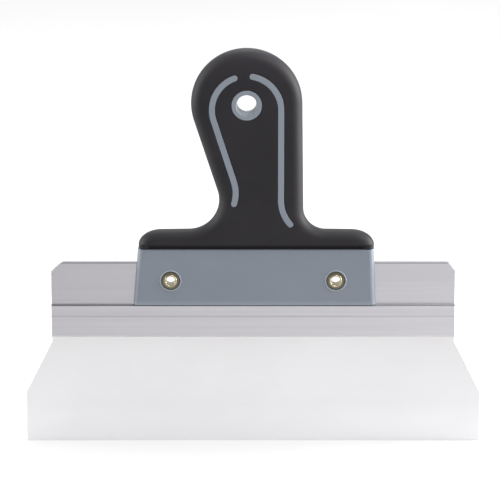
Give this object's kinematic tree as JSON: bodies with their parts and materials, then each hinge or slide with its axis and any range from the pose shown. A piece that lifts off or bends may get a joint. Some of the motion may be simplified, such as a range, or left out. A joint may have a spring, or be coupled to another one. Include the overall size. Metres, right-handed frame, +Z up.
{
  "type": "drywall taping knife",
  "caption": "Wide steel blade clamped in an aluminium rail, with a flat two-component handle riveted over the rail and a hang hole in its round head.",
  "frame": {"origin": "middle of the cutting edge, on the blade's middle plane", "axes": "+X along the cutting edge to the right seen from the front, +Z up towards the hang hole, -Y out of the front face"},
  "size_m": [0.25, 0.014, 0.2203],
  "materials": {
    "blade_steel": "bright stainless sheet with a fine satin grain",
    "rail_aluminium": "mill finish extrusion with long die lines along its length",
    "core_plastic": "blue-grey moulded plastic with a fine satin texture",
    "grip_rubber": "black soft-touch rubber with a fine matt texture",
    "rivet_brass": "bright brass plating",
    "washer_steel": "dark oiled steel"
  },
  "bodies": {
    "root": {"blade": "blade_steel", "rail": "rail_aluminium", "handle_core": "core_plastic", "grip": "grip_rubber", "rivet_left": "rivet_brass", "rivet_right": "rivet_brass", "washer_left": "washer_steel", "washer_right": "washer_steel"}
  },
  "joints": []
}
